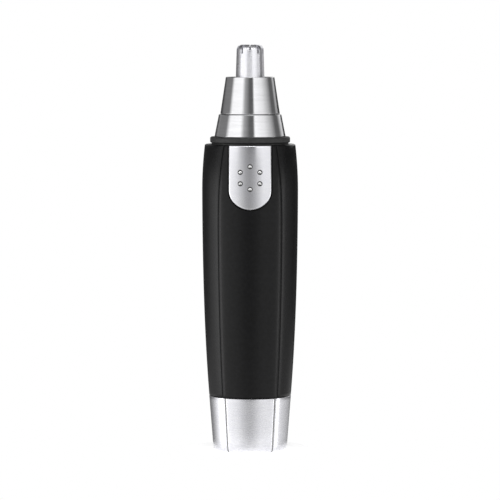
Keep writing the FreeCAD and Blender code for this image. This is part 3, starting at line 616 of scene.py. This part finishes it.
def button_outline(grow, top_z, per_side=26, turns=48, across=20):
    """U outline of the switch as (x, z) points, from the top left down and round."""
    half_w = BUTTON_HALF_W + grow
    shoulder_z = button_low.z + BUTTON_ROUND_H
    points = []
    for step in range(per_side):
        points.append((-half_w, top_z + (shoulder_z - top_z) * step / per_side))
    for step in range(turns + 1):
        angle = math.pi + math.pi * step / turns
        z = shoulder_z + (BUTTON_ROUND_H + grow) * math.sin(angle)
        points.append((half_w * math.cos(angle), z))
    for step in range(1, per_side):
        points.append((half_w, shoulder_z + (top_z - shoulder_z) * step / per_side))
    for step in range(across):
        points.append((half_w - 2 * half_w * step / across, top_z))
    return points


def shrunk(outline, share, middle_z):
    """(x, z) outline scaled towards the point at middle_z on the centre line."""
    return [(x * share, middle_z + (z - middle_z) * share) for x, z in outline]


def side_levels(foot_z, top_z, foot_round, top_round, steps, foot_steps, top_steps):
    """(inset, height) pairs up a side whose foot and top edges are rounded."""
    low_z = foot_z + foot_round
    height = top_z - top_round - low_z
    levels = []
    for inset, rise in reversed(edge_levels(foot_round, foot_steps)):
        levels.append((inset, low_z - rise))
    for step in range(1, steps):
        levels.append((0.0, low_z + height * step / steps))
    for inset, rise in edge_levels(top_round, top_steps):
        levels.append((inset, top_z - top_round + rise))
    return levels


def body_piece():
    """Soft-touch body: panelled outside, round bore, and the switch's U-shaped recess."""
    levels = side_levels(BODY_FOOT_Z, BODY_TOP_Z, BODY_FOOT_ROUND, BODY_TOP_ROUND, BODY_LEVELS,
                         foot_steps=3, top_steps=5)
    rings = []
    for inset, z in levels:
        rings.append(panel_ring(z, body_radius(z), body_crease_deg(z), BODY_CREASE, inset))
    rings.append(circle_like(rings[-1], BORE_R + BORE_TOP_EASE, BODY_TOP_Z))
    rings.append(circle_like(rings[-1], BORE_R, BODY_TOP_Z - BORE_TOP_EASE))
    rings.append(circle_like(rings[-1], BORE_R, BODY_FOOT_Z + BORE_FOOT_EASE))
    rings.append(circle_like(rings[-1], BORE_R + BORE_FOOT_EASE, BODY_FOOT_Z))
    piece = stacked("soft_touch_body", rings)
    carve(piece, [recess_cutter(), stem_slot_cutter()])
    soften(piece, width_mm=0.16, angle_deg=50)
    finish_piece(piece, "housing", "body_shell", "soft_touch_black", 40)


def recess_cutter():
    """Solid of the U outline, from the curved recess floor out past the front."""
    outline = button_outline(RECESS_GAP, BODY_TOP_Z + RECESS_CUT_PAST)
    count = len(outline)
    vertices = [(x, -BODY_WIDEST_R - RECESS_CUT_PAST, z) for x, z in outline]
    faces = [tuple(range(count))]
    floor_middle_z = sum(z for _, z in outline) / count
    previous = 0
    for share in [1] + RECESS_FLOOR_SHARES:
        first = len(vertices)
        vertices += [on_front(RECESS_R, x, z) for x, z in shrunk(outline, share, floor_middle_z)]
        faces += wall_faces(previous, first, count)
        previous = first
    vertices.append((0, -RECESS_R, floor_middle_z))
    for index in range(count):
        faces.append((previous + index, previous + (index + 1) % count, len(vertices) - 1))
    return piece_from("recess_cutter", vertices, faces)


def box_piece(name, low, high):
    xs, ys, zs = zip(low, high)
    corners = [(x, y, z) for z in zs for y in ys for x in xs]
    faces = [(0, 1, 3, 2), (4, 5, 7, 6), (0, 1, 5, 4), (2, 3, 7, 6), (0, 2, 6, 4), (1, 3, 7, 5)]
    return piece_from(name, corners, faces)


def stem_slot_cutter():
    """Box that opens the recess floor for the switch's stem."""
    _, carrier_high = span("switch_carrier")
    low_z, high_z = STEM_SLOT_Z
    low = (-STEM_SLOT_HALF_W, -RECESS_R - CUT_PAST, low_z)
    high = (STEM_SLOT_HALF_W, carrier_high.y - CUT_PAST, high_z)
    return box_piece("stem_slot_cutter", low, high)


def cap_levels():
    """(inset, height) pairs up the cap's side, with its rounded foot and its fine top edge."""
    return side_levels(0, cap_high.z, CAP_FOOT_ROUND, CAP_TOP_ROUND, CAP_LEVELS,
                       foot_steps=7, top_steps=3)


def cap_crease_shade_piece():
    """Painted shade: a thin dark grey strip sunk in each of the cap's four creases."""
    vertices, faces = [], []
    levels = cap_levels()
    deep_sink = CAP_LINE_SINK + CAP_LINE_DEPTH
    for mirror in (1, -1):
        for turn_deg in (0, 180):
            start = len(vertices)
            for inset, z in levels:
                radius = cap_radius(z)
                edge_deg = crease_edge_deg(radius, CAP_CREASE_DEG)
                middle = edge_deg + math.degrees(CAP_LINE_MIDDLE / radius)
                half = math.degrees(CAP_LINE_W / 2 / radius)
                corners = [(middle - half, CAP_LINE_SINK), (middle + half, CAP_LINE_SINK),
                           (middle + half, deep_sink), (middle - half, deep_sink)]
                for plan_deg, sink in corners:
                    vertices.append(on_ring(radius - inset - sink, turn_deg + mirror * plan_deg,
                                            z + CAP_LINE_LIFT))
            last = len(vertices) - 4
            for first in range(start, last, 4):
                faces += wall_faces(first, first + 4, 4)
            faces.append(tuple(range(start, start + 4)))
            faces.append(tuple(range(last, last + 4)))
    piece = piece_from("cap_crease_painted_shade", vertices, faces)
    finish_piece(piece, "cap", "end_cap", "silver_plastic")
    # The strips get the dark grey of painted crease shade.
    piece.data.materials[0] = CREASE_PAINTED_SHADE


def end_cap_piece():
    """Silver end cap: panelled outside, rounded foot, flat base and a round cup inside."""
    foot = panel_ring(0, CAP_FOOT_R, CAP_CREASE_DEG, CAP_CREASE)
    rings = [circle_like(foot, radius, 0) for radius in [AXIS_R] + CAP_BASE_RINGS_R]
    for inset, z in cap_levels():
        rings.append(panel_ring(z, cap_radius(z), CAP_CREASE_DEG, CAP_CREASE, inset))
    rings.append(circle_like(rings[-1], CAP_CUP_R, cap_high.z))
    rings.append(circle_like(rings[-1], CAP_CUP_R, CAP_CUP_FLOOR_Z))
    rings.append(circle_like(rings[-1], AXIS_R, CAP_CUP_FLOOR_Z))
    finish_piece(stacked("silver_end_cap", rings), "cap", "end_cap", "silver_plastic", 30)


def on_button(x, z, lift):
    """Point on the button's curved face, or so far in front of it."""
    return on_front(body_radius(z) + BUTTON_PROUD + lift, x, z)


def switch_button_piece():
    """Silver slide: a curved U plate with a rounded rim, closed at the back by a curved face."""
    top_z = button_high.z
    middle_z = button_low.z + BUTTON_MIDDLE_H
    outline = button_outline(0, top_z)
    count = len(outline)
    rings = [[on_front(BUTTON_BACK_R, x, z) for x, z in outline]]
    for inset, rise in edge_levels(BUTTON_RIM, 5):
        rim = button_outline(-inset, top_z - inset)
        rings.append([on_button(x, z, rise - BUTTON_RIM) for x, z in rim])
    face = button_outline(-BUTTON_RIM, top_z - BUTTON_RIM)
    for share in FACE_SHARES:
        rings.append([on_button(x, z, 0) for x, z in shrunk(face, share, middle_z)])
    vertices = [point for ring in rings for point in ring]
    faces = []
    for level in range(len(rings) - 1):
        faces += wall_faces(level * count, (level + 1) * count, count)
    faces.append(tuple(range(len(vertices) - count, len(vertices))))
    previous = 0
    for share in BACK_SHARES:
        first = len(vertices)
        vertices += [on_front(BUTTON_BACK_R, x, z) for x, z in shrunk(outline, share, middle_z)]
        faces += wall_faces(previous, first, count)
        previous = first
    faces.append(tuple(range(previous, previous + count)))
    piece = piece_from("switch_slide_button", vertices, faces)
    finish_piece(piece, "switch", "switch_button", "silver_plastic", 50)
    piece.data.materials[0] = BUTTON_SILVER


def grip_dot_pieces():
    """Six polished domes set in the button's face, each ringed by painted shade: a thin dark disc.
    """
    dome = [(DOT_R, -DOT_ROOT)]
    for step in range(8):
        rise = math.pi / 2 * step / 8
        dome.append((DOT_R * math.cos(rise), DOT_H * math.sin(rise)))
    # Painted shade ring: a thin dark disc round the foot of each dome.
    shade_ring = [(DOT_SHADE_RING_R, -DOT_SHADE_RING_ROOT), (DOT_SHADE_RING_R, 0.01), (DOT_SHADE_RING_R - 0.04, DOT_SHADE_RING_H)]
    kinds = [("grip_dots", dome, DOT_H, POLISHED_DOT),
             ("grip_dot_painted_shade_rings", shade_ring, DOT_SHADE_RING_H, DOT_PAINTED_SHADE)]
    for name, profile, top_lift, material in kinds:
        vertices, faces = [], []
        for index in range(DOTS):
            angle = math.radians(90 + 360 / DOTS * index)
            x = DOT_PITCH_R * math.cos(angle)
            z = DOT_CENTRE_Z + DOT_PITCH_R * math.sin(angle)
            add_button_disc(vertices, faces, x, z, profile, top_lift)
        piece = piece_from(name, vertices, faces)
        finish_piece(piece, "switch", "switch_button", "silver_plastic", 50)
        piece.data.materials[0] = material


def add_button_disc(vertices, faces, x, z, profile, top_lift, sides=28):
    """Closed round disc or dome on the button's curved face, from (radius, lift) pairs."""
    start = len(vertices)
    for radius, lift in profile:
        for index in range(sides):
            angle = 2 * math.pi * index / sides
            point_x = x + radius * math.cos(angle)
            vertices.append(on_button(point_x, z + radius * math.sin(angle), lift))
    for level in range(len(profile) - 1):
        faces += wall_faces(start + level * sides, start + (level + 1) * sides, sides)
    vertices.append(on_button(x, z, top_lift))
    top = start + (len(profile) - 1) * sides
    for index in range(sides):
        faces.append((top + index, top + (index + 1) % sides, len(vertices) - 1))
    faces.append(tuple(range(start, start + sides)))


def collar_piece():
    """Rubber bead round the neck."""
    out_r = collar_high.x
    low, high = collar_low.z, collar_high.z
    outline = [(NECK_R, low), (out_r, low), (out_r, high), (NECK_R, high)]
    piece = turned("rubber_collar", rounded(outline, {1: 0.5, 2: 0.5, 3: 0.1}, steps=7))
    finish_piece(piece, "housing", "collar_seal", "black_rubber")


def trim_ring_piece():
    """Lower metal ring, a plain taper with fine edges."""
    foot_r, top_r = ring_high.x, 9.6
    low, high = ring_low.z, ring_high.z
    outline = [(NECK_R, low), (foot_r, low), (top_r, high), (NECK_R, high)]
    piece = turned("lower_metal_ring", rounded(outline, {1: 0.15, 2: 0.12}))
    finish_piece(piece, "housing", "trim_ring", "head_metal")


def cone_piece():
    """Upper metal cone with a flat lid round the cutter tube."""
    wall = 0.7
    foot_r, top_r = cone_high.x, 7.45
    hole_r = 4.43
    low, high = cone_low.z, cone_high.z
    outline = [(foot_r - wall, low), (foot_r, low), (top_r, high), (hole_r, high),
               (hole_r, high - wall), (top_r - wall, high - wall)]
    piece = turned("upper_metal_cone", rounded(outline, {1: 0.15, 2: 0.15, 3: 0.12}))
    finish_piece(piece, "head", "head_cone", "head_metal")


def cutter_tube_piece():
    """Guard tube with a flange under the cone's lid, a rounded rim and slots through its tip."""
    low, high = tip_low.z, tip_high.z
    flange_r, in_r, foot_r, top_r = tip_high.x, 3.7, 4.38, 4.07
    flange_top = cone_high.z - 0.75
    plate = 0.4
    outline = [(in_r, low), (flange_r, low), (flange_r, flange_top), (foot_r, flange_top),
               (foot_r, cone_high.z), (top_r, high), (0, high), (0, high - plate),
               (in_r, high - plate)]
    outline = rounded(outline, {5: 1.6, 8: 1.2}, steps=10)
    piece = turned("cutter_guard_tube", outline, sides=240)
    slots = []
    for index in range(TIP_SLOTS):
        slot_low = (-TIP_SLOT_W / 2, -TIP_SLOT_OUT_R, high - TIP_SLOT_H)
        slot_high = (TIP_SLOT_W / 2, -TIP_SLOT_IN_R, high + CUT_PAST)
        slot = box_piece("tip_slot", slot_low, slot_high)
        slot.data.transform(Matrix.Rotation(2 * math.pi * index / TIP_SLOTS, 4, "Z"))
        slots.append(slot)
    carve(piece, slots)
    soften(piece, width_mm=0.07, angle_deg=45)
    finish_piece(piece, "head", "cutter_tube", "cutter_steel", 40)


body_piece()
end_cap_piece()
cap_crease_shade_piece()
switch_button_piece()
grip_dot_pieces()
collar_piece()
trim_ring_piece()
cone_piece()
cutter_tube_piece()

for name, node in nodes.items():
    if name not in replaced:
        smooth(node, 30)


# ---- studio --------------------------------------------------------------------------------


FLOOR_R = 0.02

# The studio's walls, as (plan angle, brightness) pairs. The angle is 0 on the camera's side and
# grows towards +X. A shiny surface shows the wall at about twice its own plan angle, so the bands
# become its dark and bright stripes. They change with height, which is the z of the direction:
# each step of SKY_STEPS goes from the bands below it to its own between two heights. A surface
# that leans up shows higher bands than an upright one, and one that faces down shows lower ones.
STUDIO_STRENGTH = 1.6
GROUND_LEVEL = 0.1
GROUND_TO_WALL_Z = (-0.5, -0.42)
CEILING_LEVEL = 0.08
WALL_TO_CEILING_Z = (0.72, 0.8)
TOP_BANDS = [
    (-180, 0.02), (-84, 0.02), (-72, 0.9), (-40, 1.2), (-20, 1.5), (-8, 2.7), (10, 2.6), (20, 1.3),
    (50, 1.2), (66, 0.5), (78, 0.02), (179, 0.02),
]
HIGH_BANDS = [
    (-180, 0.2), (-150, 0.22), (-128, 0.14), (-90, 0.14), (-76, 0.75), (-34, 0.8), (-22, 0.28),
    (-2, 0.07), (12, 0.06), (17, 0.78), (52, 0.62), (80, 0.3), (98, 0.08), (116, 0.08),
    (140, 0.6), (179, 0.7),
]
UPPER_BANDS = [
    (-180, 0.2), (-150, 0.22), (-128, 0.14), (-90, 0.14), (-76, 0.75), (-49, 0.7), (-34, 0.56),
    (-20, 0.37), (-10, 0.24), (0, 0.2), (10, 0.27), (20, 0.4), (30, 0.6), (52, 0.62), (80, 0.3),
    (98, 0.08), (116, 0.08), (140, 0.6), (179, 0.7),
]
MIDDLE_BANDS = [
    (-180, 0.04), (-112, 0.05), (-98, 0.12), (-88, 0.3), (-76, 0.75), (-49, 0.68), (-34, 0.56),
    (-20, 0.37), (-10, 0.24), (0, 0.2), (10, 0.27), (20, 0.4), (30, 0.6), (41, 0.64), (57, 0.6),
    (68, 0.36), (80, 0.12), (92, 0.04), (110, 0.03), (179, 0.03),
]
LOW_BANDS = [
    (-180, 0.03), (-140, 0.05), (-130, 0.09), (-119, 0.2), (-105, 0.7), (-98, 1.05), (-92, 1.4),
    (-86, 1.8), (-81, 2.7), (-77, 1.6), (-72, 0.9), (-62, 0.8), (-49, 0.68), (-34, 0.56),
    (-20, 0.37), (-10, 0.24), (0, 0.2), (10, 0.27), (20, 0.4), (30, 0.56), (41, 0.58), (52, 0.56),
    (70, 0.6), (76, 1.2), (81, 2.4), (86, 1.2), (90, 0.5), (100, 0.35), (113, 0.14), (128, 0.04),
    (179, 0.03),
]
FOOT_BANDS = [
    (-180, 0.2), (-144, 0.22), (-122, 0.42), (-105, 0.7), (-98, 1.05), (-92, 1.4), (-86, 1.8),
    (-81, 2.7), (-77, 1.6), (-72, 0.9), (-62, 0.8), (-49, 0.68), (-34, 0.56), (-20, 0.37),
    (-10, 0.24), (0, 0.2), (10, 0.27), (20, 0.4), (30, 0.56), (41, 0.58), (52, 0.56), (70, 0.6),
    (76, 1.2), (81, 2.4), (86, 1.2), (90, 0.55), (104, 0.42), (120, 0.36), (150, 0.36), (179, 0.3),
]
DEEP_BANDS = [
    (-180, 0.2), (-144, 0.32), (-122, 0.64), (-108, 0.76), (-67, 0.76), (-41, 0.74), (-17, 0.56),
    (0, 0.51), (20, 0.6), (41, 0.7), (67, 0.78), (120, 0.78), (150, 0.72), (179, 0.6),
]
SKY_STEPS = [
    (-0.26, -0.225, FOOT_BANDS), (-0.165, -0.125, LOW_BANDS), (-0.015, 0.03, MIDDLE_BANDS),
    (0.07, 0.11, UPPER_BANDS), (0.16, 0.22, HIGH_BANDS), (0.5, 0.56, TOP_BANDS),
]


def floor():
    """Small round pale table top under the tool."""
    sides = 96
    rim = []
    for index in range(sides):
        angle = 2 * math.pi * index / sides
        rim.append((FLOOR_R * math.cos(angle), FLOOR_R * math.sin(angle), 0))
    mesh = bpy.data.meshes.new("floor")
    mesh.from_pydata(rim, [], [tuple(range(sides))])
    table = bpy.data.objects.new("floor", mesh)
    bpy.context.scene.collection.objects.link(table)
    s = Shader("pale_floor", grey(0.9), 0.0, 0.7,
               Emission_Color=(1, 1, 1, 1), Emission_Strength=0.6)
    s.tint(s.noise(3), grey(0.89), grey(0.9))
    mesh.materials.append(s.material)


def studio_world():
    """Soft studio: walls that change with plan angle and height, a dim ceiling and ground.

    The camera itself sees a plain white backdrop.
    """
    world = bpy.data.worlds.new("studio")
    bpy.context.scene.world = world
    world.use_nodes = True
    tree = world.node_tree
    tree.nodes.clear()

    def add(kind, **settings):
        node = tree.nodes.new(kind)
        for key, value in settings.items():
            setattr(node, key, value)
        return node

    def maths(operation, first, second):
        node = add("ShaderNodeMath", operation=operation)
        for socket, value in zip(node.inputs, (first, second)):
            if isinstance(value, (int, float)):
                socket.default_value = value
            else:
                tree.links.new(value, socket)
        return node.outputs[0]

    def band_ramp(bands):
        """Brightness by plan angle."""
        ramp = add("ShaderNodeValToRGB")
        elements = ramp.color_ramp.elements
        while len(elements) < len(bands):
            elements.new(0.5)
        for element, (plan_deg, level) in zip(elements, bands):
            element.position = (plan_deg + 180) / 360
            element.color = (level, level, level, 1)
        tree.links.new(turn_share, ramp.inputs["Fac"])
        return ramp.outputs["Color"]

    def grey_light(level):
        colour = add("ShaderNodeRGB")
        colour.outputs[0].default_value = (level, level, level, 1)
        return colour.outputs[0]

    def blend_up(low_z, high_z, below, above):
        """Change from one light to another between two heights."""
        rise = add("ShaderNodeMapRange", interpolation_type="SMOOTHSTEP")
        rise.inputs["From Min"].default_value = low_z
        rise.inputs["From Max"].default_value = high_z
        tree.links.new(direction.outputs["Z"], rise.inputs["Value"])
        mix = add("ShaderNodeMix", data_type="RGBA")
        tree.links.new(rise.outputs["Result"], mix.inputs["Factor"])
        tree.links.new(below, mix.inputs["A"])
        tree.links.new(above, mix.inputs["B"])
        return mix.outputs["Result"]

    direction = add("ShaderNodeSeparateXYZ")
    tree.links.new(add("ShaderNodeTexCoord").outputs["Generated"], direction.inputs[0])
    towards_front = maths("MULTIPLY", direction.outputs["Y"], -1.0)
    turn = maths("ARCTAN2", direction.outputs["X"], towards_front)
    turn_share = maths("ADD", maths("DIVIDE", turn, 2 * math.pi), 0.5)

    light = blend_up(*GROUND_TO_WALL_Z, grey_light(GROUND_LEVEL), band_ramp(DEEP_BANDS))
    for low_z, high_z, bands in SKY_STEPS:
        light = blend_up(low_z, high_z, light, band_ramp(bands))
    light = blend_up(*WALL_TO_CEILING_Z, light, grey_light(CEILING_LEVEL))
    lit = add("ShaderNodeBackground")
    lit.inputs["Strength"].default_value = STUDIO_STRENGTH
    tree.links.new(light, lit.inputs["Color"])
    plain = add("ShaderNodeBackground")
    plain.inputs["Color"].default_value = (1, 1, 1, 1)
    path = add("ShaderNodeLightPath")
    choice = add("ShaderNodeMixShader")
    tree.links.new(path.outputs["Is Camera Ray"], choice.inputs["Fac"])
    tree.links.new(lit.outputs[0], choice.inputs[1])
    tree.links.new(plain.outputs[0], choice.inputs[2])
    tree.links.new(choice.outputs[0], add("ShaderNodeOutputWorld").inputs["Surface"])


def camera():
    """Camera a metre in front of the tool and a little above it."""
    distance, elevation = 1.0, math.radians(4.0)
    aim = Vector((-0.00003, 0, 0.0618))
    back = Vector((0, -math.cos(elevation), math.sin(elevation)))
    data = bpy.data.cameras.new("camera")
    data.sensor_width = 36
    data.lens = 233.5
    eye = bpy.data.objects.new("camera", data)
    eye.location = aim + back * distance
    eye.rotation_mode = "QUATERNION"
    eye.rotation_quaternion = (-back).to_track_quat("-Z", "Y")
    bpy.context.scene.collection.objects.link(eye)
    bpy.context.scene.camera = eye


floor()
studio_world()
camera()
bpy.context.scene.view_settings.view_transform = "Standard"
